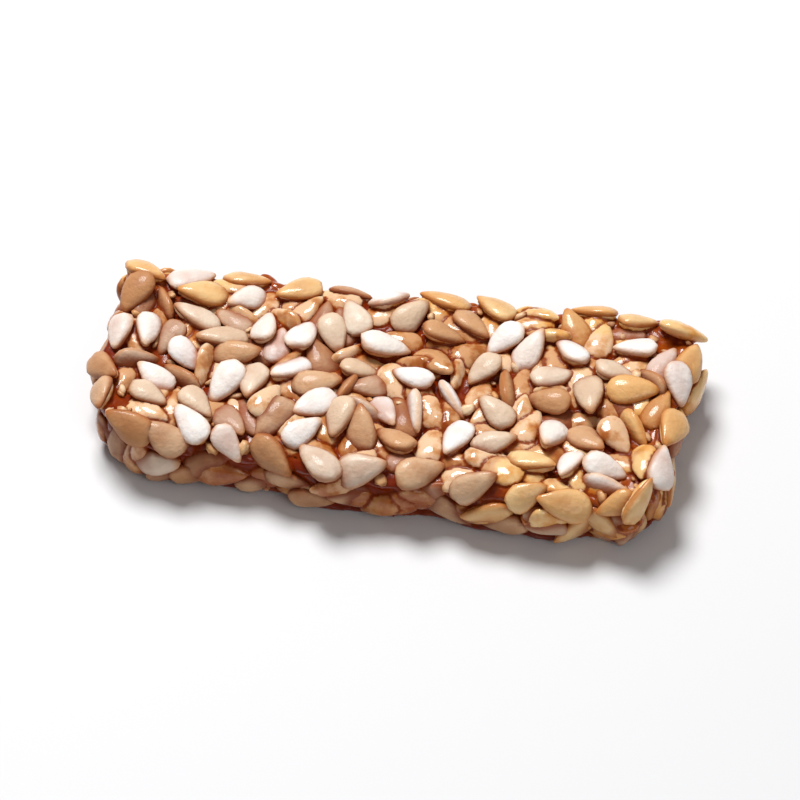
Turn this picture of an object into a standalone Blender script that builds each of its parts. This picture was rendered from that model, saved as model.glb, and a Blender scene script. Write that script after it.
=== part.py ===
"""Sesame sohan: one hand-cut tile of sesame brittle, lying on its flat side.

Metres, +Z up. The origin is on the flat underside, under the middle of the tile. +X runs along
the tile's length and -Y is its front edge.
The tile is a slab of set caramel. Flattened, pointed sesame seeds lie at all angles in its top
and round its cut sides, some standing proud and some sunk almost flush. They are fused to the
slab, because the real tile is one piece.
"""
import math
import random

import bmesh
import bpy
from mathutils import Euler, Matrix, Vector

# The slab of caramel
LENGTH = 0.0384
WIDTH_LEFT = 0.0138
WIDTH_RIGHT = 0.0161
THICKNESS = 0.0041
TOP_ROUNDING = 0.0009
FOOT_ROUNDING = 0.0004
CORNER_FAR_LEFT = 0.0018
CORNER_FAR_RIGHT = 0.0042
CORNER_NEAR_LEFT = 0.0036
CORNER_NEAR_RIGHT = 0.0026
END_SKEW = 0.0022
NEAR_BULGE = 0.0006
EDGE_WAVE = 0.00042
TOP_WAVE = 0.00016
BELLY = 0.00018
END_LIFT = 0.00045
FLAT_SHARE = 0.62

# Rows of faces along, across and up the slab
ROWS_ALONG = 20
ROWS_ACROSS = 10
ROWS_UP = 2

# The seeds
SEED_LENGTH = 0.0032
SEED_WIDTH = 0.0020
SEED_THICKNESS = 0.00096
SEED_SPREAD = 0.13
SEED_SIDES = 6
SEED_RINGS = 4
TIP_TAPER = 0.42
SEEDS_ON_RIM = 32
PROUD_ON_TOP = 68
SUNK_ON_TOP = 42
SEEDS_IN_SIDES = 52
ON_EDGE_SHARE = 0.09
PROUD_HEIGHT = 0.00018
SUNK_HEIGHT = -0.00016
ON_EDGE_HEIGHT = -0.00035
PROUD_TILT = math.radians(21)
SUNK_TILT = math.radians(9)
SIDE_TILT = math.radians(15)
ON_EDGE_TILT = math.radians(68)
FOOT_GAP = 0.00025
OVERHANG = 0.00045
PROUD_SPACING = 0.00130
SUNK_SPACING = 0.00102
ATTEMPTS = 9000

# How the seeds are fitted: the step over which a slope is read, the step along the outline, how far
# apart a seed's three discs are, and how much of a corner's rounding is kept free
SLOPE_STEP = 0.0006
OUTLINE_STEP = 0.04
DISC_STEP = 0.29
CORNER_SHARE = 0.3
RANDOM_SEED = 70

# The seeds along the rounded rim of the top
RIM_INSET = (0.0002, 0.0008)
RIM_HEIGHT = -0.00006
RIM_TURN = 0.8

# Rows of seeds in the sides: share of the thickness, upward lean and depth below the caramel
UPPER_ROW = (0.62, 0.0, 0.00018)
LOWER_ROW = (0.27, 0.0, 0.00018)
CORNER_ROW = (0.46, 0.0, 0.00042)

# Places on the top where the caramel was poured thicker and no seed stands proud: x, y and radius
BARE_PATCHES = (
    (-0.0068, 0.0046, 0.0019),
    (0.0128, 0.0068, 0.0024),
    (0.0180, -0.0010, 0.0016),
    (0.0152, -0.0070, 0.0021),
    (-0.0015, -0.0022, 0.0012),
)

CARAMEL_COLOUR = (0.50, 0.27, 0.12, 1.0)


def wave(t, phase):
    """An uneven line: two slow waves added, between about -1 and 1."""
    return 0.62 * math.sin(5.2 * t + phase) + 0.38 * math.sin(11.7 * t + 2.3 * phase)


def half_width(u):
    """Half the tile's width at u, from -1 at its left end to 1 at its right."""
    return (WIDTH_LEFT + (WIDTH_RIGHT - WIDTH_LEFT) * (u + 1) / 2) / 2


def corner_radius(u, v):
    """The rounding of the corner that the point (u, v) belongs to."""
    if v > 0:
        return CORNER_FAR_LEFT if u < 0 else CORNER_FAR_RIGHT
    return CORNER_NEAR_LEFT if u < 0 else CORNER_NEAR_RIGHT


def outline_point(u, v):
    """Where the point (u, v) of a square, -1 to 1 each way, lies in the tile's plan."""
    half_length = LENGTH / 2
    along = corner_radius(u, v) / half_length
    across = corner_radius(u, v) / half_width(u)
    s = (abs(u) - 1 + along) / along
    t = (abs(v) - 1 + across) / across
    if s > 0 and t > 0:
        s, t = s * math.sqrt(1 - t * t / 2), t * math.sqrt(1 - s * s / 2)
        u = math.copysign(1 - along + along * s, u)
        v = math.copysign(1 - across + across * t, v)
    y_phase = 0.6 if v > 0 else 2.9
    x_phase = 4.1 if u > 0 else 1.7
    x = u * half_length + EDGE_WAVE * wave(v, x_phase) * abs(u) ** 3 * math.copysign(1, u)
    y = v * half_width(u) + EDGE_WAVE * wave(2 * u, y_phase) * abs(v) ** 3 * math.copysign(1, v)
    x -= END_SKEW * (1 - v) / 2 * max(0.0, u) ** 5
    y -= NEAR_BULGE * (1 - u * u) * max(0.0, -v) ** 3
    return x, y


def edge_distance(u, v):
    """How far the point (u, v) is from the tile's nearest edge."""
    return max(0.0, min((1 - abs(u)) * LENGTH / 2, (1 - abs(v)) * half_width(u)))


def rounding(distance, radius):
    """How far a quarter-round edge has dropped at this distance from the edge."""
    if distance >= radius:
        return 0.0
    return radius - math.sqrt(radius * radius - (radius - distance) ** 2)


def end_lift(u):
    """The tile's ends curl up a little from the flat middle that it rests on."""
    beyond = max(0.0, abs(u) - FLAT_SHARE) / (1 - FLAT_SHARE)
    return END_LIFT * beyond * beyond


def top_height(u, v):
    """Height of the caramel's top over the point (u, v)."""
    ripple = TOP_WAVE * (wave(1.6 * u + 0.7 * v, 0.4) + wave(1.3 * v - 0.9 * u, 3.3))
    return THICKNESS + ripple + end_lift(u) - rounding(edge_distance(u, v), TOP_ROUNDING)


def foot_height(u, v):
    """Height of the underside over the point (u, v): flat in the middle."""
    return end_lift(u) + rounding(edge_distance(u, v), FOOT_ROUNDING)


def slab_point(u, v, w):
    """Where the point (u, v, w) of a cube, -1 to 1 each way, lies in the slab."""
    x, y = outline_point(u, v)
    belly = BELLY * (1 - w * w)
    low = foot_height(u, v)
    height = low + (top_height(u, v) - low) * (w + 1) / 2
    return Vector((x + belly * u ** 7, y + belly * v ** 7, height))


def top_lean(u, v):
    """The turn that lays a seed along the slope of the top at the point (u, v)."""
    du = SLOPE_STEP / (LENGTH / 2)
    dv = SLOPE_STEP / half_width(u)
    along = slab_point(min(1, u + du), v, 1) - slab_point(max(-1, u - du), v, 1)
    across = slab_point(u, min(1, v + dv), 1) - slab_point(u, max(-1, v - dv), 1)
    up = along.cross(across).normalized()
    return Vector((0, 0, 1)).rotation_difference(up).to_matrix()


def outward(u, v):
    """The heading, in plan, that the tile's side faces at the point (u, v) of its edge."""
    if abs(v) > abs(u):
        ahead, behind = (min(1, u + OUTLINE_STEP), v), (max(-1, u - OUTLINE_STEP), v)
    else:
        ahead, behind = (u, min(1, v + OUTLINE_STEP)), (u, max(-1, v - OUTLINE_STEP))
    along = Vector(outline_point(*ahead)) - Vector(outline_point(*behind))
    out = Vector((along.y, -along.x))
    if out.dot(Vector(outline_point(u, v))) < 0:
        out.negate()
    return math.atan2(out.y, out.x)


def in_corner(u, v):
    """True where the point (u, v) of the edge is on the rounding of a corner."""
    radius = corner_radius(u, v)
    return (1 - abs(u)) * LENGTH / 2 < radius and (1 - abs(v)) * half_width(u) < radius


def inside(u, v, heading):
    """True where a seed at (u, v) hangs over the tile's edge no further than it may."""
    end_room = (1 - abs(u)) * LENGTH / 2 + OVERHANG
    side_room = (1 - abs(v)) * half_width(u) + OVERHANG
    end_reach = (abs(math.cos(heading)) * SEED_LENGTH + abs(math.sin(heading)) * SEED_WIDTH) / 2
    side_reach = (abs(math.sin(heading)) * SEED_LENGTH + abs(math.cos(heading)) * SEED_WIDTH) / 2
    cut_off = corner_radius(u, v) * CORNER_SHARE if in_corner(u, v) else 0.0
    return end_room > end_reach + cut_off and side_room > side_reach + cut_off


def make_slab(material):
    """The caramel: a cube cut into rows, closer together near its edges, and then shaped."""
    shape = bmesh.new()
    bmesh.ops.create_cube(shape, size=2)
    for axis, rows in enumerate((ROWS_ALONG, ROWS_ACROSS, ROWS_UP)):
        lengthways = [e for e in shape.edges if abs((e.verts[0].co - e.verts[1].co)[axis]) > 1]
        bmesh.ops.subdivide_edges(shape, edges=lengthways, cuts=rows - 1, use_grid_fill=True)
    for corner in shape.verts:
        u = math.sin(corner.co.x * math.pi / 2)
        v = math.sin(corner.co.y * math.pi / 2)
        corner.co = slab_point(u, v, corner.co.z)
    mesh = bpy.data.meshes.new("sohan")
    shape.to_mesh(mesh)
    shape.free()
    mesh.materials.append(material)
    return mesh


def make_seed_mesh():
    """A sesame seed one unit long, wide and thick, with its pointed end towards +X."""
    shape = bmesh.new()
    bmesh.ops.create_uvsphere(shape, u_segments=SEED_SIDES, v_segments=SEED_RINGS, radius=0.5)
    bmesh.ops.rotate(shape, verts=shape.verts, matrix=Matrix.Rotation(math.pi / 2, 3, "Y"))
    for corner in shape.verts:
        narrower = 1 - TIP_TAPER * (corner.co.x + 0.12) * 2
        corner.co.y *= narrower
        corner.co.z *= (1 + narrower) / 2
    mesh = bpy.data.meshes.new("seed")
    shape.to_mesh(mesh)
    shape.free()
    return mesh


def seed_size(draw):
    """Length, width and thickness of one seed. No two are the same."""
    spread = draw.uniform(1 - SEED_SPREAD, 1 + SEED_SPREAD)
    slimmer = draw.uniform(1 - SEED_SPREAD / 2, 1 + SEED_SPREAD / 2)
    return Vector((SEED_LENGTH * spread, SEED_WIDTH * spread * slimmer, SEED_THICKNESS * spread))


def reach_down(turn, size):
    """How far a seed reaches below its centre when it is turned like this."""
    return math.sqrt(sum((turn[2][axis] * size[axis] / 2) ** 2 for axis in range(3)))


def clear_of(spot, heading, others, spacing):
    """True where a seed here would lie clear of the others: each counts as three discs in a row."""
    step = Vector((math.cos(heading), math.sin(heading))) * SEED_LENGTH * DISC_STEP
    for other, other_heading in others:
        if (spot - other).length > SEED_LENGTH:
            continue
        other_step = Vector((math.cos(other_heading), math.sin(other_heading))) * SEED_LENGTH * DISC_STEP
        for mine in (-1, 0, 1):
            for theirs in (-1, 0, 1):
                if (spot + mine * step - other - theirs * other_step).length < spacing:
                    return False
    return True


def bare(spot):
    """True on a patch of thick caramel."""
    return any((spot - Vector((x, y))).length < radius for x, y, radius in BARE_PATCHES)


def top_places(draw, count, others, spacing, height, tilt, avoid_bare):
    """Matrices of seeds scattered over the top, each at its own heading and tilt."""
    places = []
    for _attempt in range(ATTEMPTS):
        if len(places) == count:
            break
        u = draw.uniform(-1, 1)
        v = draw.uniform(-1, 1)
        heading = draw.uniform(0, 2 * math.pi)
        roll = draw.uniform(-tilt, tilt)
        pitch = draw.uniform(-tilt, tilt)
        size = seed_size(draw)
        on_edge = draw.random() < ON_EDGE_SHARE
        spot = Vector(outline_point(u, v))
        if not inside(u, v, heading) or not clear_of(spot, heading, others, spacing):
            continue
        if avoid_bare and bare(spot):
            continue
        others.append((spot, heading))
        if on_edge:
            roll = math.copysign(ON_EDGE_TILT, roll)
        centre = Vector((spot.x, spot.y, top_height(u, v) + (ON_EDGE_HEIGHT if on_edge else height)))
        turn = top_lean(u, v) @ Matrix.Rotation(heading, 3, "Z") @ Euler((roll, pitch, 0)).to_matrix()
        places.append(Matrix.LocRotScale(centre, turn, size))
    return places


def side_walk(share):
    """The point (u, v) of the tile's edge at this share of the way round it."""
    around = 2 * LENGTH + WIDTH_LEFT + WIDTH_RIGHT
    walked = share * around
    if walked < LENGTH:
        return 2 * walked / LENGTH - 1, -1
    walked -= LENGTH
    if walked < WIDTH_RIGHT:
        return 1, 2 * walked / WIDTH_RIGHT - 1
    walked -= WIDTH_RIGHT
    if walked < LENGTH:
        return 1 - 2 * walked / LENGTH, 1
    walked -= LENGTH
    return -1, 1 - 2 * walked / WIDTH_LEFT


def rim_places(draw, count, others):
    """Matrices of seeds that lie one after another along the rim, as steep as it is rounded."""
    places = []
    for number in range(count):
        u, v = side_walk((number + draw.uniform(0.3, 0.7)) / count)
        inset = draw.uniform(*RIM_INSET)
        u *= 1 - 2 * inset / LENGTH
        v *= 1 - inset / half_width(u)
        heading = outward(u, v) + draw.choice((0.5, 1.5)) * math.pi + draw.uniform(-RIM_TURN, RIM_TURN)
        roll = draw.uniform(-SIDE_TILT, SIDE_TILT)
        pitch = draw.uniform(-SUNK_TILT, SUNK_TILT)
        size = seed_size(draw)
        spot = Vector(outline_point(u, v))
        others.append((spot, heading))
        centre = Vector((spot.x, spot.y, top_height(u, v) + RIM_HEIGHT))
        turn = top_lean(u, v) @ Matrix.Rotation(heading, 3, "Z") @ Euler((roll, pitch, 0)).to_matrix()
        places.append(Matrix.LocRotScale(centre, turn, size))
    return places


def side_places(draw, count, rows, others):
    """Matrices of seeds round the tile's edge, staggered between the rows given."""
    places = []
    for number in range(count):
        u, v = side_walk((number + draw.uniform(0.2, 0.8)) / count)
        level, lean, depth = rows[number % len(rows)]
        lie = draw.choice((0.5, 1.5)) * math.pi + draw.uniform(-0.6, 0.6)
        if in_corner(u, v):
            level, lean, depth = CORNER_ROW
            lie = draw.choice((0.0, math.pi))
        level += draw.uniform(-0.06, 0.06)
        roll = draw.uniform(-SIDE_TILT, SIDE_TILT)
        pitch = draw.uniform(-SIDE_TILT, SIDE_TILT)
        size = seed_size(draw)
        facing = outward(u, v)
        skin = slab_point(u, v, 2 * level - 1)
        face_out = Matrix.Rotation(facing, 3, "Z") @ Matrix.Rotation(math.pi / 2 - lean, 3, "Y")
        turn = face_out @ Matrix.Rotation(lie, 3, "Z") @ Euler((roll, pitch, 0)).to_matrix()
        others.append((skin.xy, facing + math.pi / 2))
        centre = skin - face_out @ Vector((0, 0, depth))
        centre.z = max(centre.z, FOOT_GAP + reach_down(turn, size))
        places.append(Matrix.LocRotScale(centre, turn, size))
    return places


def lay_seeds():
    """Where every seed lies: on the rim, proud and sunk on the top, and in the cut sides."""
    draw = random.Random(RANDOM_SEED)
    laid = []
    places = rim_places(draw, SEEDS_ON_RIM, laid)
    places += top_places(draw, PROUD_ON_TOP, laid, PROUD_SPACING, PROUD_HEIGHT, PROUD_TILT, True)
    places += top_places(draw, SUNK_ON_TOP, laid, SUNK_SPACING, SUNK_HEIGHT, SUNK_TILT, False)
    places += side_places(draw, SEEDS_IN_SIDES, (UPPER_ROW, LOWER_ROW), laid)
    return places


def fuse_seeds(slab, places):
    """Join the seeds to the slab with one Boolean union, and take the loose ones away."""
    seeds = bpy.data.collections.new("seeds")
    bpy.context.scene.collection.children.link(seeds)
    seed_mesh = make_seed_mesh()
    for place in places:
        seed = bpy.data.objects.new("seed", seed_mesh)
        seed.matrix_world = place
        seeds.objects.link(seed)
    union = slab.modifiers.new("seeds", "BOOLEAN")
    union.operation = "UNION"
    union.operand_type = "COLLECTION"
    union.collection = seeds
    union.solver = "MANIFOLD"
    bpy.context.view_layer.update()
    fused = bpy.data.meshes.new_from_object(slab.evaluated_get(bpy.context.evaluated_depsgraph_get()))
    slab.modifiers.clear()
    slab.data = fused
    for seed in list(seeds.objects):
        bpy.data.objects.remove(seed)
    bpy.data.collections.remove(seeds)


def keep_one_body(mesh):
    """Keep the outer skin alone: drop scraps, and fill any hollow that the fusing sealed."""
    shape = bmesh.new()
    shape.from_mesh(mesh)
    bmesh.ops.remove_doubles(shape, verts=shape.verts, dist=0.000004)
    bmesh.ops.dissolve_degenerate(shape, edges=shape.edges, dist=0.000002)
    waiting = set(shape.verts)
    largest = set()
    while waiting:
        body = {waiting.pop()}
        edge_of_body = set(body)
        while edge_of_body:
            corner = edge_of_body.pop()
            for edge in corner.link_edges:
                other = edge.other_vert(corner)
                if other in waiting:
                    waiting.remove(other)
                    body.add(other)
                    edge_of_body.add(other)
        if len(body) > len(largest):
            largest = body
    loose = [corner for corner in shape.verts if corner not in largest]
    bmesh.ops.delete(shape, geom=loose, context="VERTS")
    shape.to_mesh(mesh)
    shape.free()
    mesh.shade_smooth()
    mesh.set_sharp_from_angle(angle=math.radians(50))


def make_material():
    """Amber caramel full of pale seeds, seen as one colour."""
    material = bpy.data.materials.new("sesame_brittle")
    material.use_nodes = True
    surface = material.node_tree.nodes["Principled BSDF"]
    surface.inputs["Base Color"].default_value = CARAMEL_COLOUR
    surface.inputs["Roughness"].default_value = 0.35
    surface.inputs["Metallic"].default_value = 0.0
    return material


def main():
    for old in list(bpy.data.objects):
        bpy.data.objects.remove(old)
    home = bpy.data.collections.new("sesame_sohan")
    bpy.context.scene.collection.children.link(home)
    slab = bpy.data.objects.new("sohan", make_slab(make_material()))
    home.objects.link(slab)
    fuse_seeds(slab, lay_seeds())
    keep_one_body(slab.data)


main()
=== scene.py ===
import math
import random
from itertools import zip_longest

import bmesh
import bpy
import numpy as np
from mathutils import Euler, Matrix, Vector, noise
from mathutils.bvhtree import BVHTree


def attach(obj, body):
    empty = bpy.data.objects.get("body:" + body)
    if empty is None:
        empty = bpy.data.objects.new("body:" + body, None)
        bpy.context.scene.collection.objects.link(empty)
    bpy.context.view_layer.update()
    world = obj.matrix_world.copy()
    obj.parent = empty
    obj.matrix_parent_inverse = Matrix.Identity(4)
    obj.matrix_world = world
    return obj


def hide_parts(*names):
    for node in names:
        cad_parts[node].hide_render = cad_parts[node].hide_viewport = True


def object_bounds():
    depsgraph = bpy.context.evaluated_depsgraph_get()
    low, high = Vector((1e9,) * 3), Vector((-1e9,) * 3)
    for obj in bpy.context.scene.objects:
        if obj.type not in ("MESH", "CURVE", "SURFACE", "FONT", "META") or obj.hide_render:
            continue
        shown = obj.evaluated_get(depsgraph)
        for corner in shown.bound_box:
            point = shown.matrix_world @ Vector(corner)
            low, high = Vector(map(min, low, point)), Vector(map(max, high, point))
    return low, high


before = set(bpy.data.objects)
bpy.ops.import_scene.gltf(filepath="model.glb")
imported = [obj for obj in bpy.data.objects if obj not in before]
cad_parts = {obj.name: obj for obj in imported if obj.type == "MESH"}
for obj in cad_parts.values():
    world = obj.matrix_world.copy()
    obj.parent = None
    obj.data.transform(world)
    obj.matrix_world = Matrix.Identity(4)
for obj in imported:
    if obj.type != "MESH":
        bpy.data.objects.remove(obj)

# The looks of one hand-cut tile of sesame brittle. The caramel is one glossy skin that climbs round
# every seed and covers the sunk ones. The seeds that stand clear of it are pieces of their own.
# Lengths are in metres. The slab and the seeds lie where the solid has them, by the same rules.

cad_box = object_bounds()

# The slab of caramel
LENGTH = 0.0384
WIDTH_LEFT = 0.0138
WIDTH_RIGHT = 0.0161
THICKNESS = 0.0041
TOP_ROUNDING = 0.0009
FOOT_ROUNDING = 0.0004
CORNER_FAR_LEFT = 0.0018
CORNER_FAR_RIGHT = 0.0042
CORNER_NEAR_LEFT = 0.0036
CORNER_NEAR_RIGHT = 0.0026
END_SKEW = 0.0022
NEAR_BULGE = 0.0006
EDGE_WAVE = 0.00042
TOP_WAVE = 0.00016
BELLY = 0.00018
END_LIFT = 0.00045
FLAT_SHARE = 0.62

# The seeds
SEED_LENGTH = 0.0032
SEED_WIDTH = 0.0020
SEED_THICKNESS = 0.00096
SEED_SPREAD = 0.13
TIP_TAPER = 0.42
SEEDS_ON_RIM = 32
PROUD_ON_TOP = 68
SUNK_ON_TOP = 42
SEEDS_IN_SIDES = 52
ON_EDGE_SHARE = 0.09
PROUD_HEIGHT = 0.00018
SUNK_HEIGHT = -0.00016
ON_EDGE_HEIGHT = -0.00035
PROUD_TILT = math.radians(21)
SUNK_TILT = math.radians(9)
SIDE_TILT = math.radians(15)
ON_EDGE_TILT = math.radians(68)
FOOT_GAP = 0.00025
OVERHANG = 0.00045
SIDE_TURN = 0.6
LEVEL_SPREAD = 0.06
PROUD_SPACING = 0.00130
SUNK_SPACING = 0.00102
ATTEMPTS = 9000

# How the seeds are fitted: the step over which a slope is read, the step along the outline, how far
# apart a seed's three discs are, and how much of a corner's rounding is kept free
SLOPE_STEP = 0.0006
OUTLINE_STEP = 0.04
DISC_STEP = 0.29
CORNER_SHARE = 0.3
RANDOM_SEED = 70

# The seeds along the rounded rim of the top
RIM_INSET = (0.0002, 0.0008)
RIM_HEIGHT = -0.00006
RIM_TURN = 0.8

# Rows of seeds in the sides: share of the thickness, upward lean and depth below the caramel
UPPER_ROW = (0.62, 0.0, 0.00018)
LOWER_ROW = (0.27, 0.0, 0.00018)
CORNER_ROW = (0.46, 0.0, 0.00042)

# Places on the top where the caramel was poured thicker and no seed stands proud: x, y and radius
BARE_PATCHES = (
    (-0.0068, 0.0046, 0.0019),
    (0.0128, 0.0068, 0.0024),
    (0.0180, -0.0010, 0.0016),
    (0.0152, -0.0070, 0.0021),
    (-0.0015, -0.0022, 0.0012),
)

# What only the looks have: seeds that fill the gaps on the top and in the sides, in rows as above,
# and seeds that lie flat in the underside, away from its edge
FILL_ON_TOP = 110
FILL_HEIGHT = -0.00044
FILL_SPACING = 0.00058
FILL_IN_SIDES = 44
FILL_ROWS = ((0.78, 0.15, 0.00022), (0.44, 0.0, 0.0004), (0.14, -0.2, 0.0003))
SEEDS_UNDER = 60
UNDER_ATTEMPTS = 4000
UNDER_INSET = 0.0013
UNDER_SPACING = 0.0014
UNDER_DEPTHS = (0.0, 0.0, 0.00005, 0.00014)
UNDER_TILT = 0.08
LOOKS_SEED = 5

# The shape of one seed: how fine its mesh is, where along it the taper turns, and how far the bare
# ones are bent and uneven
SEED_SIDES = 16
SEED_RINGS = 10
TAPER_FROM = 0.12
SEED_BEND = 0.10
BEND_LEVEL = 0.1
SEED_UNEVENNESS = 0.09
LUMPS_ALONG_SEED = 3.5
LUMP_SHIFT = 900

# Shares of each lot that show as white, golden, amber or glazed seeds. Caramel coats the others.
SHARES = {
    "proud": (0.42, 0.36, 0.16, 0.0),
    # Painted shade: the rim and side lots take more amber seeds and fewer white and golden ones than the
    # top
    "rim": (0.22, 0.16, 0.50, 0.0),
    "side": (0.03, 0.15, 0.52, 0.0),
    "sunk": (0.08, 0.36, 0.38, 0.0),
    "fill": (0.0, 0.08, 0.10, 0.0),
    "side_fill": (0.0, 0.10, 0.20, 0.0),
    "under": (0.42, 0.10, 0.0, 0.0),
}
# The same where the rim is glazed, and how golden a place has to be to count as that
GLAZED_SHARES = {
    "proud": (0.18, 0.04, 0.0, 0.68),
    "rim": (0.14, 0.04, 0.0, 0.72),
    "sunk": (0.10, 0.04, 0.0, 0.70),
    "side": (0.0, 0.10, 0.0, 0.78),
}
GLAZED_FROM = 0.25

# How far the bed of caramel lies below a bare seed, and the lean past which it is laid straight down
BED_DEPTHS = {
    "proud": 0.00024,
    "rim": 0.00020,
    "side": 0.00020,
    "sunk": 0.00016,
    "fill": 0.00014,
    "side_fill": 0.00014,
    "under": -0.00014,
}
FLAT_LIE = 0.7

# The bed's size as a share of the seed's, and the range of tones of coats in the cut sides: only the deeper
# ones, as painted shade
BED_SHARE = (0.93, 0.86, 1.0)
SIDE_SHADE_TONES = (0.6, 1)

# The caramel's skin: the rows of its cage, the cells that it is melted in, and its triangles
CAGE_ROWS = (56, 26, 8)
VOXEL = 0.00013
SKIN_TRIANGLES = 190000
MELT_ROUNDS = 1

# How much caramel coats a seed, how far the skin lies below the solid's between the seeds, and how
# uneven it is. Low on the sides the skin counts as under thicker caramel: painted shade that darkens them.
FILM = 0.00003
SKIN_DROP = 0.00034
SKIN_GRAIN = (700, 1500)
UNDER_FILM = 0.00010
SIDE_SHADE = 0.00008
SIDE_SHADE_FROM = 0.0036
SIDE_SHADE_TO = 0.0020
UNEVENNESS = ((900, 0.00004), (2100, 0.00003), (4300, 0.000012))

# What is read off the skin for its colours: how thick it is over a seed, the depths at which the painted
# shade of a hollow and a crease is darkest, over how many rounds these are read, how deep the grooves are
# between seeds, how far a stain climbs up a bare seed, and how golden the underside is
RAY_START = 0.00012
FILM_REACH = 0.0009
HOLLOW_DEPTH = 0.00028
HOLLOW_ROUNDS = 14
CREASE_DEPTH = 0.00007
CREASE_ROUNDS = 3
GROOVE = 0.00007
STAIN_REACH = 0.00036
FACES_DOWN = -0.6
UNDER_GOLD = 0.45
GOLD_CELLS = 2500
GOLD_ROUNDS = 6

# Stretches of the rim that are glazed golden: from and to, as shares of the way round it, and how
# far in the glaze reaches
GOLDEN_RIMS = (
    (0.27, 0.36, 0.0044),
    (0.36, 0.50, 0.0050),
    (0.51, 0.60, 0.0044),
    (0.62, 0.71, 0.0024),
    (0.76, 0.86, 0.0026),
)

# In how many steps a stretch is walked, and the share of the thickness above which the glaze is full
GLAZE_STEPS = 8
GLAZE_FULL_FROM = 0.55

# Broken bits of seed on the top, and beads of golden caramel on the glazed stretches: how many,
# how large, how they are turned, and where on the side the beads sit
CRUMBS = 70
CRUMB_SIZE = (0.0004, 0.0011)
CRUMB_DEPTH = 0.00012
CRUMB_RISE = 0.15
CRUMB_TILT = 0.7
CRUMB_ROUGHNESS = 0.5
BEADS = 18
BEAD_SIZE = (0.0010, 0.0017)
BEAD_SHAPE = (1.3, 0.85, 0.55)
BEAD_TILT = 0.6
BEAD_LEVELS = (0.55, 0.85)
BEAD_INSET = (0.98, 0.955)

# The light, the floor and the camera
WORLD_LIGHT = 0.20
KEY_POWER = 1.8
KEY_PLACE = (-0.10, 0.16, 0.34)
KEY_SIZE = 0.16
FILL_POWER = 0.35
FILL_PLACE = (0.25, -0.25, 0.30)
FILL_SIZE = 0.30
FLOOR_SIZE = 1.5
FLOOR_COLOUR = (0.74, 0.74, 0.75, 1)
LENS = 200
CAMERA_AZIMUTH = math.radians(9.3)
CAMERA_ELEVATION = math.radians(51)
WIDTH_SHOWN = 0.0515


def wave(t, phase):
    """An uneven line: two slow waves added, between about -1 and 1."""
    return 0.62 * math.sin(5.2 * t + phase) + 0.38 * math.sin(11.7 * t + 2.3 * phase)


def half_width(u):
    """Half the tile's width at u, from -1 at its left end to 1 at its right."""
    return (WIDTH_LEFT + (WIDTH_RIGHT - WIDTH_LEFT) * (u + 1) / 2) / 2


def corner_radius(u, v):
    """The rounding of the corner that the point (u, v) belongs to."""
    if v > 0:
        return CORNER_FAR_LEFT if u < 0 else CORNER_FAR_RIGHT
    return CORNER_NEAR_LEFT if u < 0 else CORNER_NEAR_RIGHT


def outline_point(u, v):
    """Where the point (u, v) of a square, -1 to 1 each way, lies in the tile's plan."""
    half_length = LENGTH / 2
    along = corner_radius(u, v) / half_length
    across = corner_radius(u, v) / half_width(u)
    s = (abs(u) - 1 + along) / along
    t = (abs(v) - 1 + across) / across
    if s > 0 and t > 0:
        s, t = s * math.sqrt(1 - t * t / 2), t * math.sqrt(1 - s * s / 2)
        u = math.copysign(1 - along + along * s, u)
        v = math.copysign(1 - across + across * t, v)
    y_phase = 0.6 if v > 0 else 2.9
    x_phase = 4.1 if u > 0 else 1.7
    x = u * half_length + EDGE_WAVE * wave(v, x_phase) * abs(u) ** 3 * math.copysign(1, u)
    y = v * half_width(u) + EDGE_WAVE * wave(2 * u, y_phase) * abs(v) ** 3 * math.copysign(1, v)
    x -= END_SKEW * (1 - v) / 2 * max(0.0, u) ** 5
    y -= NEAR_BULGE * (1 - u * u) * max(0.0, -v) ** 3
    return x, y


def edge_distance(u, v):
    """How far the point (u, v) is from the tile's nearest edge."""
    return max(0.0, min((1 - abs(u)) * LENGTH / 2, (1 - abs(v)) * half_width(u)))


def rounding(distance, radius):
    """How far a quarter-round edge has dropped at this distance from the edge."""
    if distance >= radius:
        return 0.0
    return radius - math.sqrt(radius * radius - (radius - distance) ** 2)


def end_lift(u):
    """The tile's ends curl up a little from the flat middle that it rests on."""
    beyond = max(0.0, abs(u) - FLAT_SHARE) / (1 - FLAT_SHARE)
    return END_LIFT * beyond * beyond


def top_height(u, v):
    """Height of the caramel's top over the point (u, v)."""
    ripple = TOP_WAVE * (wave(1.6 * u + 0.7 * v, 0.4) + wave(1.3 * v - 0.9 * u, 3.3))
    return THICKNESS + ripple + end_lift(u) - rounding(edge_distance(u, v), TOP_ROUNDING)


def foot_height(u, v):
    """Height of the underside over the point (u, v): flat in the middle."""
    return end_lift(u) + rounding(edge_distance(u, v), FOOT_ROUNDING)


def slab_point(u, v, w):
    """Where the point (u, v, w) of a cube, -1 to 1 each way, lies in the slab."""
    x, y = outline_point(u, v)
    belly = BELLY * (1 - w * w)
    low = foot_height(u, v)
    height = low + (top_height(u, v) - low) * (w + 1) / 2
    return Vector((x + belly * u ** 7, y + belly * v ** 7, height))


def top_lean(u, v):
    """The turn that lays a seed along the slope of the top at the point (u, v)."""
    du = SLOPE_STEP / (LENGTH / 2)
    dv = SLOPE_STEP / half_width(u)
    along = slab_point(min(1, u + du), v, 1) - slab_point(max(-1, u - du), v, 1)
    across = slab_point(u, min(1, v + dv), 1) - slab_point(u, max(-1, v - dv), 1)
    up = along.cross(across).normalized()
    return Vector((0, 0, 1)).rotation_difference(up).to_matrix()


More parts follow.
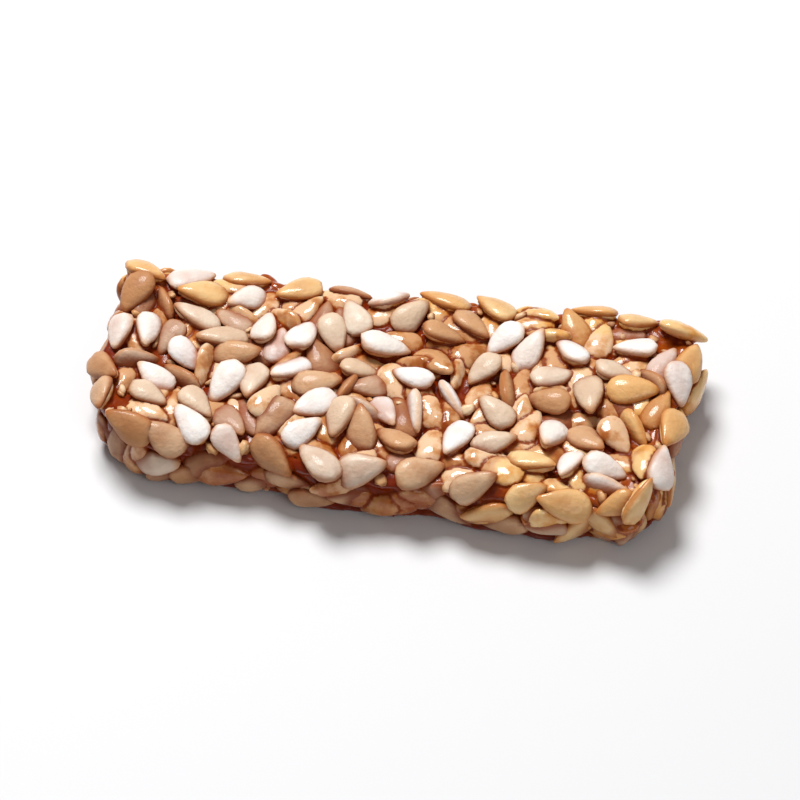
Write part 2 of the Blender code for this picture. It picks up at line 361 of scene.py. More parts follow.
def outward(u, v):
    """The heading, in plan, that the tile's side faces at the point (u, v) of its edge."""
    if abs(v) > abs(u):
        ahead, behind = (min(1, u + OUTLINE_STEP), v), (max(-1, u - OUTLINE_STEP), v)
    else:
        ahead, behind = (u, min(1, v + OUTLINE_STEP)), (u, max(-1, v - OUTLINE_STEP))
    along = Vector(outline_point(*ahead)) - Vector(outline_point(*behind))
    out = Vector((along.y, -along.x))
    if out.dot(Vector(outline_point(u, v))) < 0:
        out.negate()
    return math.atan2(out.y, out.x)


def in_corner(u, v):
    """True where the point (u, v) of the edge is on the rounding of a corner."""
    radius = corner_radius(u, v)
    return (1 - abs(u)) * LENGTH / 2 < radius and (1 - abs(v)) * half_width(u) < radius


def inside(u, v, heading):
    """True where a seed at (u, v) hangs over the tile's edge no further than it may."""
    end_room = (1 - abs(u)) * LENGTH / 2 + OVERHANG
    side_room = (1 - abs(v)) * half_width(u) + OVERHANG
    end_reach = (abs(math.cos(heading)) * SEED_LENGTH + abs(math.sin(heading)) * SEED_WIDTH) / 2
    side_reach = (abs(math.sin(heading)) * SEED_LENGTH + abs(math.cos(heading)) * SEED_WIDTH) / 2
    cut_off = corner_radius(u, v) * CORNER_SHARE if in_corner(u, v) else 0.0
    return end_room > end_reach + cut_off and side_room > side_reach + cut_off


def seed_size(draw):
    """Length, width and thickness of one seed. No two are the same."""
    spread = draw.uniform(1 - SEED_SPREAD, 1 + SEED_SPREAD)
    slimmer = draw.uniform(1 - SEED_SPREAD / 2, 1 + SEED_SPREAD / 2)
    return Vector((SEED_LENGTH * spread, SEED_WIDTH * spread * slimmer, SEED_THICKNESS * spread))


def reach_down(turn, size):
    """How far a seed reaches below its centre when it is turned like this."""
    return math.sqrt(sum((turn[2][axis] * size[axis] / 2) ** 2 for axis in range(3)))


def clear_of(spot, heading, others, spacing):
    """True where a seed here would lie clear of the others: each counts as three discs in a row."""
    step = Vector((math.cos(heading), math.sin(heading))) * SEED_LENGTH * DISC_STEP
    for other, other_heading in others:
        if (spot - other).length > SEED_LENGTH:
            continue
        other_step = Vector((math.cos(other_heading), math.sin(other_heading))) * SEED_LENGTH * DISC_STEP
        for mine in (-1, 0, 1):
            for theirs in (-1, 0, 1):
                if (spot + mine * step - other - theirs * other_step).length < spacing:
                    return False
    return True


def bare(spot):
    """True on a patch of thick caramel."""
    return any((spot - Vector((x, y))).length < radius for x, y, radius in BARE_PATCHES)


def top_places(draw, count, others, spacing, height, tilt, avoid_bare):
    """Matrices of seeds scattered over the top, each at its own heading and tilt."""
    places = []
    for _attempt in range(ATTEMPTS):
        if len(places) == count:
            break
        u = draw.uniform(-1, 1)
        v = draw.uniform(-1, 1)
        heading = draw.uniform(0, 2 * math.pi)
        roll = draw.uniform(-tilt, tilt)
        pitch = draw.uniform(-tilt, tilt)
        size = seed_size(draw)
        on_edge = draw.random() < ON_EDGE_SHARE
        spot = Vector(outline_point(u, v))
        if not inside(u, v, heading) or not clear_of(spot, heading, others, spacing):
            continue
        if avoid_bare and bare(spot):
            continue
        others.append((spot, heading))
        if on_edge:
            roll = math.copysign(ON_EDGE_TILT, roll)
        centre = Vector((spot.x, spot.y, top_height(u, v) + (ON_EDGE_HEIGHT if on_edge else height)))
        turn = top_lean(u, v) @ Matrix.Rotation(heading, 3, "Z") @ Euler((roll, pitch, 0)).to_matrix()
        places.append(Matrix.LocRotScale(centre, turn, size))
    return places


def side_walk(share):
    """The point (u, v) of the tile's edge at this share of the way round it."""
    around = 2 * LENGTH + WIDTH_LEFT + WIDTH_RIGHT
    walked = share * around
    if walked < LENGTH:
        return 2 * walked / LENGTH - 1, -1
    walked -= LENGTH
    if walked < WIDTH_RIGHT:
        return 1, 2 * walked / WIDTH_RIGHT - 1
    walked -= WIDTH_RIGHT
    if walked < LENGTH:
        return 1 - 2 * walked / LENGTH, 1
    walked -= LENGTH
    return -1, 1 - 2 * walked / WIDTH_LEFT


def rim_places(draw, count, others):
    """Matrices of seeds that lie one after another along the rim, as steep as it is rounded."""
    places = []
    for number in range(count):
        u, v = side_walk((number + draw.uniform(0.3, 0.7)) / count)
        inset = draw.uniform(*RIM_INSET)
        u *= 1 - 2 * inset / LENGTH
        v *= 1 - inset / half_width(u)
        heading = outward(u, v) + draw.choice((0.5, 1.5)) * math.pi + draw.uniform(-RIM_TURN, RIM_TURN)
        roll = draw.uniform(-SIDE_TILT, SIDE_TILT)
        pitch = draw.uniform(-SUNK_TILT, SUNK_TILT)
        size = seed_size(draw)
        spot = Vector(outline_point(u, v))
        others.append((spot, heading))
        centre = Vector((spot.x, spot.y, top_height(u, v) + RIM_HEIGHT))
        turn = top_lean(u, v) @ Matrix.Rotation(heading, 3, "Z") @ Euler((roll, pitch, 0)).to_matrix()
        places.append(Matrix.LocRotScale(centre, turn, size))
    return places


def side_places(draw, count, rows, others):
    """Matrices of seeds round the tile's edge, staggered between the rows given."""
    places = []
    for number in range(count):
        u, v = side_walk((number + draw.uniform(0.2, 0.8)) / count)
        level, lean, depth = rows[number % len(rows)]
        lie = draw.choice((0.5, 1.5)) * math.pi + draw.uniform(-SIDE_TURN, SIDE_TURN)
        if in_corner(u, v):
            level, lean, depth = CORNER_ROW
            lie = draw.choice((0.0, math.pi))
        level += draw.uniform(-LEVEL_SPREAD, LEVEL_SPREAD)
        roll = draw.uniform(-SIDE_TILT, SIDE_TILT)
        pitch = draw.uniform(-SIDE_TILT, SIDE_TILT)
        size = seed_size(draw)
        facing = outward(u, v)
        skin = slab_point(u, v, 2 * level - 1)
        face_out = Matrix.Rotation(facing, 3, "Z") @ Matrix.Rotation(math.pi / 2 - lean, 3, "Y")
        turn = face_out @ Matrix.Rotation(lie, 3, "Z") @ Euler((roll, pitch, 0)).to_matrix()
        others.append((skin.xy, facing + math.pi / 2))
        centre = skin - face_out @ Vector((0, 0, depth))
        centre.z = max(centre.z, FOOT_GAP + reach_down(turn, size))
        places.append(Matrix.LocRotScale(centre, turn, size))
    return places


def under_places(draw, count):
    """Matrices of seeds lying flat just inside the underside."""
    places = []
    laid = []
    for _attempt in range(UNDER_ATTEMPTS):
        if len(places) == count:
            break
        u = draw.uniform(-1, 1)
        v = draw.uniform(-1, 1)
        heading = draw.uniform(0, 2 * math.pi)
        size = seed_size(draw)
        spot = Vector(outline_point(u, v))
        if edge_distance(u, v) < UNDER_INSET or not clear_of(spot, heading, laid, UNDER_SPACING):
            continue
        laid.append((spot, heading))
        depth = draw.choice(UNDER_DEPTHS)
        height = foot_height(u, v) + size.z / 2 + depth
        tilt = Euler((draw.uniform(-UNDER_TILT, UNDER_TILT), 0, 0)).to_matrix()
        turn = Matrix.Rotation(heading, 3, "Z") @ tilt
        places.append(Matrix.LocRotScale(Vector((spot.x, spot.y, height)), turn, size))
    return places


def lay_seeds():
    """Every seed's place, by how it lies: on the rim, proud or sunk on the top, in the sides or under.

    The first four lots are the solid's own seeds. Fill, side fill and underside are only here.
    """
    draw = random.Random(RANDOM_SEED)
    laid = []
    lots = {}
    lots["rim"] = rim_places(draw, SEEDS_ON_RIM, laid)
    lots["proud"] = top_places(draw, PROUD_ON_TOP, laid, PROUD_SPACING, PROUD_HEIGHT, PROUD_TILT, True)
    lots["sunk"] = top_places(draw, SUNK_ON_TOP, laid, SUNK_SPACING, SUNK_HEIGHT, SUNK_TILT, False)
    lots["side"] = side_places(draw, SEEDS_IN_SIDES, (UPPER_ROW, LOWER_ROW), laid)
    more = random.Random(LOOKS_SEED)
    lots["fill"] = top_places(more, FILL_ON_TOP, laid, FILL_SPACING, FILL_HEIGHT, SUNK_TILT, False)
    lots["side_fill"] = side_places(more, FILL_IN_SIDES, FILL_ROWS, [])
    lots["under"] = under_places(more, SEEDS_UNDER)
    return lots


def seed_template(sides, rings):
    """A sesame seed one unit long, wide and thick, with its pointed end towards +X."""
    shape = bmesh.new()
    bmesh.ops.create_uvsphere(shape, u_segments=sides, v_segments=rings, radius=0.5)
    bmesh.ops.rotate(shape, verts=shape.verts, matrix=Matrix.Rotation(math.pi / 2, 3, "Y"))
    for corner in shape.verts:
        narrower = 1 - TIP_TAPER * (corner.co.x + TAPER_FROM) * 2
        corner.co.y *= narrower
        corner.co.z *= (1 + narrower) / 2
    return mesh_of(shape, "seed")


def bead_template():
    """A round bead of caramel, one unit across."""
    shape = bmesh.new()
    bmesh.ops.create_icosphere(shape, subdivisions=2, radius=0.5)
    return mesh_of(shape, "bead")


def crumb_template():
    """A broken bit of seed and caramel, about one unit across."""
    shape = bmesh.new()
    bmesh.ops.create_icosphere(shape, subdivisions=2, radius=0.5)
    for corner in shape.verts:
        corner.co *= 1 + CRUMB_ROUGHNESS * noise.noise(corner.co * 3.1 + Vector((0.4, 0.7, 0.2)))
    return mesh_of(shape, "crumb")


def mesh_of(shape, name):
    mesh = bpy.data.meshes.new(name)
    shape.to_mesh(mesh)
    shape.free()
    return mesh


def point_array(mesh, kind="co"):
    """The places or the normals of a mesh's points, a row for each."""
    values = np.empty(len(mesh.vertices) * 3, dtype=np.float32)
    mesh.vertices.foreach_get(kind, values)
    return values.reshape(-1, 3)


def edge_array(mesh):
    """The two ends of each edge, by number."""
    ends = np.empty(len(mesh.edges) * 2, dtype=np.int32)
    mesh.edges.foreach_get("vertices", ends)
    return ends.reshape(-1, 2)


def spread_values(values, ends, rounds):
    """Average each value with its neighbours', so that it changes softly over the surface."""
    count = len(values)
    neighbours = np.maximum(np.bincount(ends.ravel(), minlength=count), 1)
    for _round in range(rounds):
        total = np.bincount(ends[:, 0], values[ends[:, 1]], count)
        total += np.bincount(ends[:, 1], values[ends[:, 0]], count)
        values = (values + total / neighbours) / 2
    return values


def store(mesh, name, values):
    layer = mesh.attributes.new(name, "FLOAT", "POINT")
    layer.data.foreach_set("value", np.asarray(values, dtype=np.float32))


def sow(template, places, swell=0.0, bends=()):
    """Copy a seed or a bead to each of these places, as one mesh. Bent seeds are uneven too."""
    shape = bmesh.new()
    for place, bend in zip_longest(places, bends, fillvalue=0.0):
        copy = template.copy()
        shift = Vector((LUMP_SHIFT * bend, 0, 0))
        for corner in copy.vertices if bend else ():
            corner.co.z += bend * (corner.co.x ** 2 - BEND_LEVEL)
            lump = noise.noise(corner.co * LUMPS_ALONG_SEED + shift)
            corner.co *= 1 + SEED_UNEVENNESS * lump
        centre, turn, size = place.decompose()
        copy.transform(Matrix.LocRotScale(centre, turn, size + Vector((2 * swell,) * 3)))
        shape.from_mesh(copy)
        bpy.data.meshes.remove(copy)
    return mesh_of(shape, template.name)


def search_tree(mesh):
    """The mesh as a tree that finds its nearest face, or the first that a ray meets."""
    faces = [tuple(face.vertices) for face in mesh.polygons]
    return BVHTree.FromPolygons([corner.co for corner in mesh.vertices], faces)


def finished_piece(name, mesh, material):
    """A piece of the tile. It stands for the solid and rides with it."""
    mesh.name = name
    mesh.materials.clear()
    mesh.materials.append(material)
    mesh.shade_smooth()
    piece = bpy.data.objects.new(name, mesh)
    bpy.context.scene.collection.objects.link(piece)
    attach(piece, "root")
    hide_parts("sohan")
    return piece


def slab_shape():
    """The slab as a fine cage, its skin a little lower than the solid's between the seeds."""
    shape = bmesh.new()
    bmesh.ops.create_cube(shape, size=2)
    for axis, rows in enumerate(CAGE_ROWS):
        lengthways = [e for e in shape.edges if abs((e.verts[0].co - e.verts[1].co)[axis]) > 1]
        bmesh.ops.subdivide_edges(shape, edges=lengthways, cuts=rows - 1, use_grid_fill=True)
    for corner in shape.verts:
        u = math.sin(corner.co.x * math.pi / 2)
        v = math.sin(corner.co.y * math.pi / 2)
        w = corner.co.z
        place = slab_point(u, v, w)
        grain = noise.noise(place * SKIN_GRAIN[0]) + 0.5 * noise.noise(place * SKIN_GRAIN[1])
        if w > 0.99:
            place.z -= SKIN_DROP * (1 + grain)
        elif w < -0.99:
            place.z += UNDER_FILM * (1 + grain)
        if max(abs(u), abs(v)) > 0.999:
            inward = Vector((-place.x * 0.4, -place.y, 0)).normalized()
            place += inward * SKIN_DROP * (1 + grain)
        corner.co = place
    return shape


def lowered(place, depth, on_top):
    """The same place, this much deeper in the tile. A seed on its edge goes straight down."""
    lower = place.copy()
    out = place.to_3x3().col[2].normalized()
    if on_top and out.z < FLAT_LIE:
        out = Vector((0, 0, 1))
    lower.translation -= out * depth
    return lower


def melt_together(coated, beads, template):
    """The caramel: the slab, a coat round every seed and the beads, melted into one skin."""
    shape = slab_shape()
    shape.from_mesh(sow(template, coated, FILM))
    shape.from_mesh(sow(bead_template(), beads))
    rough = bpy.data.objects.new("rough", mesh_of(shape, "rough"))
    bpy.context.scene.collection.objects.link(rough)
    melt = rough.modifiers.new("melt", "REMESH")
    melt.mode = "VOXEL"
    melt.voxel_size = VOXEL
    mesh = bpy.data.meshes.new_from_object(rough.evaluated_get(bpy.context.evaluated_depsgraph_get()))
    bpy.data.objects.remove(rough)
    smooth = bmesh.new()
    smooth.from_mesh(mesh)
    every_way = {"use_axis_x": True, "use_axis_y": True, "use_axis_z": True}
    for _round in range(MELT_ROUNDS):
        bmesh.ops.smooth_vert(smooth, verts=smooth.verts, factor=0.5, **every_way)
    triangles = 2 * len(smooth.faces)
    fine = bpy.data.objects.new("fine", mesh_of(smooth, "fine"))
    bpy.context.scene.collection.objects.link(fine)
    fewer = fine.modifiers.new("fewer", "DECIMATE")
    fewer.ratio = min(1.0, SKIN_TRIANGLES / triangles)
    mesh = bpy.data.meshes.new_from_object(fine.evaluated_get(bpy.context.evaluated_depsgraph_get()))
    bpy.data.objects.remove(fine)
    roughen(mesh)
    keep_in_box(mesh)
    return mesh


def roughen(mesh):
    """Set caramel is never quite smooth: raise and lower the skin a few hundredths of a millimetre."""
    points = point_array(mesh)
    ways = point_array(mesh, "normal")
    height = []
    for point in points:
        height.append(sum(depth * noise.noise(Vector(point) * scale) for scale, depth in UNEVENNESS))
    points += ways * np.array(height, dtype=np.float32)[:, None]
    mesh.vertices.foreach_set("co", points.ravel())
    mesh.update()


def any_turn(draw, tilt):
    """A turn to any heading, tilted by no more than this."""
    return Euler((draw.uniform(-tilt, tilt), draw.uniform(-tilt, tilt), draw.uniform(-3, 3))).to_matrix()


def crumb_places(draw, skin_tree):
    """Matrices of broken bits of seed that lie on the caramel."""
    places = []
    for _attempt in range(4 * CRUMBS):
        if len(places) == CRUMBS:
            break
        u, v = draw.uniform(-0.97, 0.97), draw.uniform(-0.95, 0.95)
        spot = Vector(outline_point(u, v)).to_3d()
        size = Vector((1, draw.uniform(0.5, 0.9), draw.uniform(0.35, 0.6))) * draw.uniform(*CRUMB_SIZE)
        turn = any_turn(draw, CRUMB_TILT)
        hit, way, _face, _distance = skin_tree.ray_cast(spot + Vector((0, 0, 0.02)), Vector((0, 0, -1)))
        if hit is None or hit.z > top_height(u, v) - CRUMB_DEPTH:
            continue
        places.append(Matrix.LocRotScale(hit + way * size.z * CRUMB_RISE, turn, size))
    return places


def keep_in_box(mesh):
    """Press in the little that reaches out of the solid's own box."""
    points = np.clip(point_array(mesh), np.array(cad_box[0]), np.array(cad_box[1]))
    mesh.vertices.foreach_set("co", points.astype(np.float32).ravel())
    mesh.update()


def golden(place):
    """How golden the glaze is at this place: 1 on the golden stretches of the rim, 0 off them."""
    strength = 0.0
    for start, end, reach in GOLDEN_RIMS:
        for step in range(GLAZE_STEPS + 1):
            u, v = side_walk(start + (end - start) * step / GLAZE_STEPS)
            away = (Vector(outline_point(u, v)) - place.xy).length
            strength = max(strength, 1 - away / reach)
    level = min(1.0, place.z / (GLAZE_FULL_FROM * THICKNESS))
    return max(0.0, strength) * level ** 2


def sunkenness(points, ways, ends, rounds):
    """How far each point lies below the mean of those around it. More rounds take in more of them."""
    settled = np.stack([spread_values(points[:, axis].astype(float), ends, rounds) for axis in range(3)], 1)
    return ((settled - points) * ways).sum(1)


def paint_skin(mesh, coated, tones, template):
    """Draw the skin in between one seed and the next, and store on it how thick the caramel is (counted
    thicker low on the sides, as painted shade), how deep the tone of the seed under it, its creases and
    hollows for the painted shade, and where the glaze is golden."""
    tree = search_tree(sow(template, coated))
    faces_each = len(template.polygons)
    points = point_array(mesh)
    ways = point_array(mesh, "normal")
    film = np.full(len(points), FILM_REACH)
    owner = np.full(len(points), -1)
    for number, (point, way) in enumerate(zip(points, ways)):
        way = Vector(way)
        _hit, _way, face, distance = tree.ray_cast(Vector(point) + way * RAY_START, -way,
                                                   FILM_REACH + RAY_START)
        if face is not None:
            film[number] = max(0.0, distance - RAY_START)
            owner[number] = face // faces_each
    faces_down = ways[:, 2] < FACES_DOWN
    # Painted shade: low on the sides, not on the underside, the skin counts as under thicker caramel and
    # comes out darker
    low = np.clip((SIDE_SHADE_FROM - points[:, 2]) / (SIDE_SHADE_FROM - SIDE_SHADE_TO), 0, 1)
    film += np.where(faces_down, 0.0, SIDE_SHADE * low)
    ends = edge_array(mesh)
    border = np.zeros(len(points))
    border[ends[owner[ends[:, 0]] != owner[ends[:, 1]]]] = 1
    border = spread_values(border, ends, 1)
    points -= (ways.T * GROOVE * border).T
    mesh.vertices.foreach_set("co", points.astype(np.float32).ravel())
    mesh.update()
    # Hollows and creases: masks for the painted shade in the caramel's colour
    hollow = sunkenness(points, ways, ends, HOLLOW_ROUNDS)
    crease = sunkenness(points, ways, ends, CREASE_ROUNDS)
    crease = spread_values(crease, ends, 1) / CREASE_DEPTH
    tone = np.array(tones + [0.5])[owner]
    cells = np.round(points * GOLD_CELLS).astype(int)
    _unique, first, cell = np.unique(cells, axis=0, return_index=True, return_inverse=True)
    gold = np.array([golden(Vector(points[number])) for number in first])[cell.ravel()]
    store(mesh, "film", np.clip(spread_values(film, ends, 2) / FILM_REACH, 0, 1))
    store(mesh, "tone", spread_values(tone, ends, 3))
    store(mesh, "hollow", np.clip(hollow / HOLLOW_DEPTH, -1, 1))
    store(mesh, "crease", np.clip(np.maximum(crease, border), 0, 1))
    gold = np.where(faces_down, UNDER_GOLD, gold)
    store(mesh, "gold", spread_values(gold, ends, GOLD_ROUNDS))


def make_seeds(name, places, material, template, skin_tree, draw):
    """One kind of seed as one piece, with each one's tone, its tip and where the caramel stains it."""
    bends = [draw.uniform(-SEED_BEND, SEED_BEND) for _place in places]
    mesh = sow(template, places, 0.0, bends)
    keep_in_box(mesh)
    tones = np.array([draw.random() for _place in places])
    along = point_array(template)[:, 0] + 0.5
    edge = 1 - np.abs(2 * point_array(template)[:, 2])
    stains = []
    for corner in mesh.vertices:
        near, way, _index, distance = skin_tree.find_nearest(corner.co)
        under = (corner.co - near).dot(way) < 0
        stains.append(1.0 if under else max(0.0, 1 - distance / STAIN_REACH))
    store(mesh, "tone", np.repeat(tones, len(template.vertices)))
    store(mesh, "along", np.tile(along, len(places)))
    store(mesh, "edge", np.tile(edge, len(places)))
    store(mesh, "stain", spread_values(np.array(stains), edge_array(mesh), 1))
    finished_piece(name, mesh, material)


class Finish:
    """A Principled material, and the few kinds of node that its colour and bump are made of."""

    def __init__(self, name):
        self.material = bpy.data.materials.new(name)
        self.material.use_nodes = True
        self.tree = self.material.node_tree
        self.surface = self.tree.nodes["Principled BSDF"]
        self.place = self.tree.nodes.new("ShaderNodeTexCoord").outputs["Object"]

    def set(self, **values):
        for name, value in values.items():
            self.surface.inputs[name.replace("_", " ")].default_value = value

    def feed(self, name, source):
        self.join(source, self.surface.inputs[name])

    def join(self, source, socket):
        self.tree.links.new(source, socket)

    def stored(self, name):
        node = self.tree.nodes.new("ShaderNodeAttribute")
        node.attribute_name = name
        return node.outputs["Fac"]

    def noise(self, scale, detail=3.0, roughness=0.55):
        node = self.tree.nodes.new("ShaderNodeTexNoise")
        node.inputs["Scale"].default_value = scale
        node.inputs["Detail"].default_value = detail
        node.inputs["Roughness"].default_value = roughness
        self.join(self.place, node.inputs["Vector"])
        return node.outputs["Fac"]

    def ramp(self, source, stops):
        node = self.tree.nodes.new("ShaderNodeValToRGB")
        while len(node.color_ramp.elements) < len(stops):
            node.color_ramp.elements.new(0.5)
        for element, (position, colour) in zip(node.color_ramp.elements, stops):
            element.position = position
            element.color = (*colour, 1)
        self.join(source, node.inputs["Fac"])
        return node.outputs["Color"]

    def sum(self, first, second):
        node = self.tree.nodes.new("ShaderNodeMath")
        node.use_clamp = True
        self.join(first, node.inputs[0])
        self.join(second, node.inputs[1])
        return node.outputs["Value"]

    def between(self, source, low, high, to_low, to_high):
        node = self.tree.nodes.new("ShaderNodeMapRange")
        node.interpolation_type = "SMOOTHSTEP"
        for name, value in (("From Min", low), ("From Max", high), ("To Min", to_low), ("To Max", to_high)):
            node.inputs[name].default_value = value
        self.join(source, node.inputs["Value"])
        return node.outputs["Result"]

    def mix(self, amount, first, second):
        node = self.tree.nodes.new("ShaderNodeMix")
        node.data_type = "RGBA"
        sockets = {socket.identifier: socket for socket in node.inputs}
        self.join(amount, sockets["Factor_Float"])
        for name, value in (("A_Color", first), ("B_Color", second)):
            if isinstance(value, tuple):
                sockets[name].default_value = (*value, 1)
            else:
                self.join(value, sockets[name])
        return {socket.identifier: socket for socket in node.outputs}["Result_Color"]

    def bump(self, height, distance, strength):
        node = self.tree.nodes.new("ShaderNodeBump")
        node.inputs["Strength"].default_value = strength
        node.inputs["Distance"].default_value = distance
        self.join(height, node.inputs["Height"])
        self.feed("Normal", node.outputs["Normal"])


def srgb(red, green, blue):
    """A colour as the eye reads it, 0 to 255, turned into the light it stands for."""
    def light(value):
        value /= 255
        return value / 12.92 if value <= 0.04045 else ((value + 0.055) / 1.055) ** 2.4
    return light(red), light(green), light(blue)


def caramel_finish():
    """Glossy amber: tan where it is a thin coat over a seed, deep red-brown where it is thick, and darker
    in hollows, in creases and low on the sides as painted shade.
    """
    made = Finish("caramel")
    film = made.sum(made.stored("film"), made.between(made.noise(700, 5), 0.3, 0.7, -0.05, 0.10))
    paler = made.ramp(film, (
        (0.03, srgb(231, 193, 156)),
        (0.08, srgb(210, 155, 106)),
        (0.14, srgb(174, 98, 42)),
        (0.28, srgb(152, 62, 10)),
        (0.80, srgb(118, 32, 0)),
    ))
    deeper = made.ramp(film, (
        (0.03, srgb(203, 150, 104)),
        (0.10, srgb(170, 102, 50)),
        (0.22, srgb(144, 57, 8)),
        (0.80, srgb(114, 31, 0)),
    ))
    colour = made.mix(made.between(made.stored("tone"), 0.25, 0.85, 0.0, 1.0), paler, deeper)
    glaze = made.ramp(film, (
        (0.04, srgb(234, 192, 134)),
        (0.12, srgb(218, 154, 80)),
        (0.30, srgb(190, 106, 32)),
        (1.00, srgb(150, 66, 10)),
    ))
    patchy = made.sum(made.stored("gold"), made.between(made.noise(380), 0.35, 0.65, -0.35, 0.25))
    colour = made.mix(made.between(patchy, 0.10, 0.50, 0.0, 1.0), colour, glaze)
    # Painted shade: creases and the grooves between seeds darken to red-brown
    colour = made.mix(made.between(made.stored("crease"), 0.05, 0.85, 0.0, 0.9), colour, srgb(136, 52, 8))
    # Painted shade: hollows darken to near-black red-brown
    colour = made.mix(made.between(made.stored("hollow"), 0.0, 0.55, 0.0, 1.0), colour, srgb(98, 18, 0))
    made.feed("Base Color", colour)
    made.feed("Roughness", made.between(made.noise(900), 0.3, 0.7, 0.16, 0.36))
    made.feed("Coat Weight", made.between(made.stored("hollow"), -0.2, 0.2, 0.7, 0.0))
    made.bump(made.noise(2600, 4), 0.00004, 0.5)
    made.set(Specular_IOR_Level=0.1, Coat_Roughness=0.06, Subsurface_Weight=0.15,
             Subsurface_Scale=0.0008, Subsurface_Radius=(1.0, 0.45, 0.15))
    return made.material


def seed_finish(name, colours, gloss):
    """Waxy hulled sesame: paler or deeper from seed to seed, browner at its tip and at its foot."""
    pale, deep, tip, stain = (srgb(*colour) for colour in colours)
    made = Finish(name)
    colour = made.mix(made.stored("tone"), pale, deep)
    colour = made.mix(made.between(made.noise(900, 4), 0.4, 0.75, 0.0, 0.6), colour, deep)
    colour = made.mix(made.between(made.stored("along"), 0.80, 1.0, 0.0, 0.6), colour, tip)
    colour = made.mix(made.between(made.stored("edge"), 0.35, 0.95, 0.0, 0.7), colour, tip)
    colour = made.mix(made.between(made.stored("stain"), 0.2, 0.95, 0.0, 0.95), colour, stain)
    made.feed("Base Color", colour)
    made.feed("Roughness", made.between(made.noise(1100), 0.3, 0.7, 0.34, 0.54))
    made.bump(made.noise(2400, 5), 0.00014, 0.7)
    made.set(Coat_Weight=gloss, Coat_Roughness=0.12, Specular_IOR_Level=0.12, Subsurface_Weight=0.12,
             Subsurface_Scale=0.0004, Subsurface_Radius=(1.0, 0.8, 0.6))
    return made.material


def bead_places(draw):
    """Beads of golden caramel along the glazed stretches of the rim."""
    places = []
    for _bead in range(BEADS):
        start, end, _reach = draw.choice(GOLDEN_RIMS)
        u, v = side_walk(draw.uniform(start, end))
        level = draw.uniform(*BEAD_LEVELS)
        spot = slab_point(u * BEAD_INSET[0], v * BEAD_INSET[1], 2 * level - 1)
        size = draw.uniform(*BEAD_SIZE)
        turn = any_turn(draw, BEAD_TILT)
        places.append(Matrix.LocRotScale(spot, turn, Vector([size * share for share in BEAD_SHAPE])))
    return places


def sort_seeds(lots, draw):
    """Which seeds show as white, golden, amber or glazed, where the caramel's coats go, and how deep
    each coat's tone is: the cut sides are browner than the top, as painted shade, with only deeper coat
    tones there."""
    kinds = {"white": [], "golden": [], "amber": [], "glazed": []}
    coated = []
    tones = []
    for lot, places in lots.items():
        for place in places:
            shares = SHARES[lot]
            if lot in GLAZED_SHARES and golden(place.translation) > GLAZED_FROM:
                shares = GLAZED_SHARES[lot]
            chance = draw.random()
            for kind, share in zip(kinds, shares):
                if chance < share:
                    kinds[kind].append(place)
                    place = lowered(place, BED_DEPTHS[lot], lot in ("proud", "sunk", "fill"))
                    place = place @ Matrix.Diagonal((*BED_SHARE, 1))
                    break
                chance -= share
            coated.append(place)
            # Painted shade: coats in the cut sides take only deeper tones
            tones.append(draw.uniform(*SIDE_SHADE_TONES) if "side" in lot else draw.random())
    return kinds, coated, tones


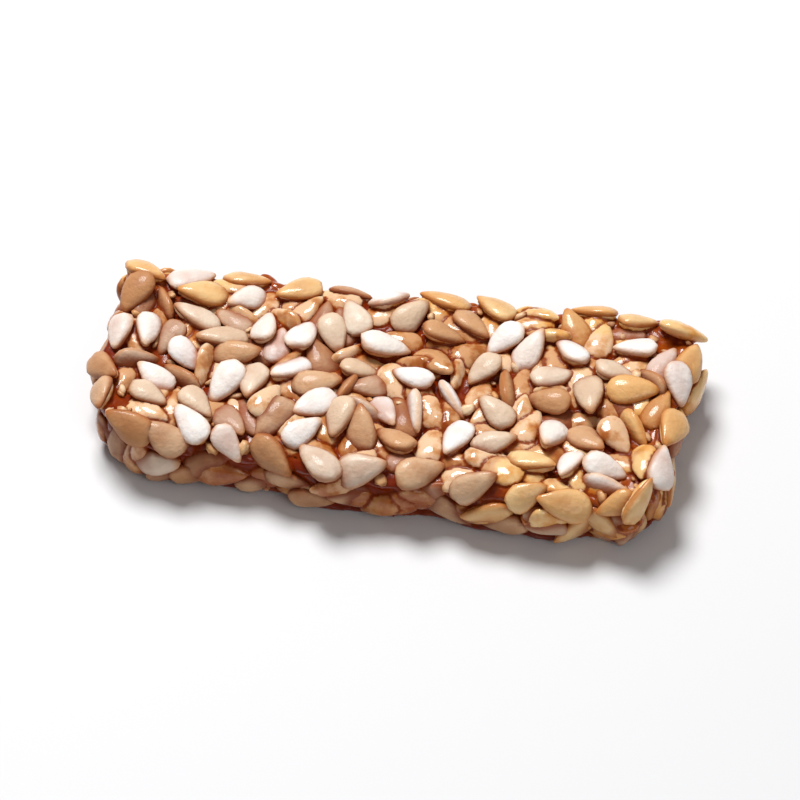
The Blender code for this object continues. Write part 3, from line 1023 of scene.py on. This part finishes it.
def make_tile():
    draw = random.Random(LOOKS_SEED + 1)
    template = seed_template(SEED_SIDES, SEED_RINGS)
    kinds, coated, tones = sort_seeds(lay_seeds(), draw)
    skin = melt_together(coated, bead_places(draw), template)
    skin_tree = search_tree(skin)
    paint_skin(skin, coated, tones, template)
    finished_piece("caramel", skin, caramel_finish())
    colours = {
        "white": ((248, 245, 243), (240, 229, 219), (220, 170, 126), (170, 90, 38)),
        "golden": ((235, 218, 199), (218, 189, 159), (190, 128, 78), (146, 66, 18)),
        "amber": ((226, 191, 155), (199, 145, 98), (170, 94, 40), (126, 48, 8)),
        "glazed": ((243, 209, 154), (227, 172, 106), (204, 128, 56), (168, 88, 26)),
    }
    gloss = {"white": 0.12, "golden": 0.16, "amber": 0.20, "glazed": 0.45}
    for kind, places in kinds.items():
        material = seed_finish(kind + "_sesame", colours[kind], gloss[kind])
        make_seeds(kind + "_seeds", places, material, template, skin_tree, draw)
    crumb_colours = ((246, 220, 184), (214, 158, 100), (190, 126, 70), (150, 76, 26))
    broken = seed_finish("broken_sesame", crumb_colours, 0.2)
    make_seeds("crumbs", crumb_places(draw, skin_tree), broken, crumb_template(), skin_tree, draw)


def make_lamp(name, place, size, power):
    light = bpy.data.lights.new(name, "AREA")
    light.shape = "DISK"
    light.size = size
    light.energy = power
    lamp = bpy.data.objects.new(name, light)
    lamp.location = place
    lamp.rotation_euler = (-Vector(place)).to_track_quat("-Z", "Y").to_euler()
    bpy.context.scene.collection.objects.link(lamp)


def make_stage():
    """A plain pale floor, soft light from above and behind, and white all round."""
    floor_shape = bmesh.new()
    bmesh.ops.create_grid(floor_shape, x_segments=1, y_segments=1, size=FLOOR_SIZE)
    finish = Finish("pale_floor")
    finish.set(Base_Color=FLOOR_COLOUR, Roughness=0.6)
    mesh = mesh_of(floor_shape, "floor")
    mesh.materials.append(finish.material)
    floor = bpy.data.objects.new("floor", mesh)
    bpy.context.scene.collection.objects.link(floor)
    world = bpy.data.worlds.new("studio")
    world.use_nodes = True
    sky = world.node_tree.nodes["Background"]
    sky.inputs["Color"].default_value = (1, 1, 1, 1)
    sky.inputs["Strength"].default_value = WORLD_LIGHT
    bpy.context.scene.world = world
    make_lamp("key", KEY_PLACE, KEY_SIZE, KEY_POWER)
    make_lamp("fill", FILL_PLACE, FILL_SIZE, FILL_POWER)
    bpy.context.scene.view_settings.view_transform = "Standard"


def make_camera():
    """Look at the tile from the photograph's angle, from far off, as a long lens does."""
    data = bpy.data.cameras.new("camera")
    data.lens = LENS
    data.clip_start = 0.01
    data.clip_end = 10
    camera = bpy.data.objects.new("camera", data)
    bpy.context.scene.collection.objects.link(camera)
    flat = math.cos(CAMERA_ELEVATION)
    back = Vector((math.sin(CAMERA_AZIMUTH) * flat, -math.cos(CAMERA_AZIMUTH) * flat,
                   math.sin(CAMERA_ELEVATION)))
    distance = WIDTH_SHOWN * LENS / data.sensor_width
    camera.location = Vector((0, 0, THICKNESS / 2)) + back * distance
    camera.rotation_euler = (-back).to_track_quat("-Z", "Y").to_euler()
    bpy.context.scene.camera = camera


make_camera()
make_tile()
make_stage()
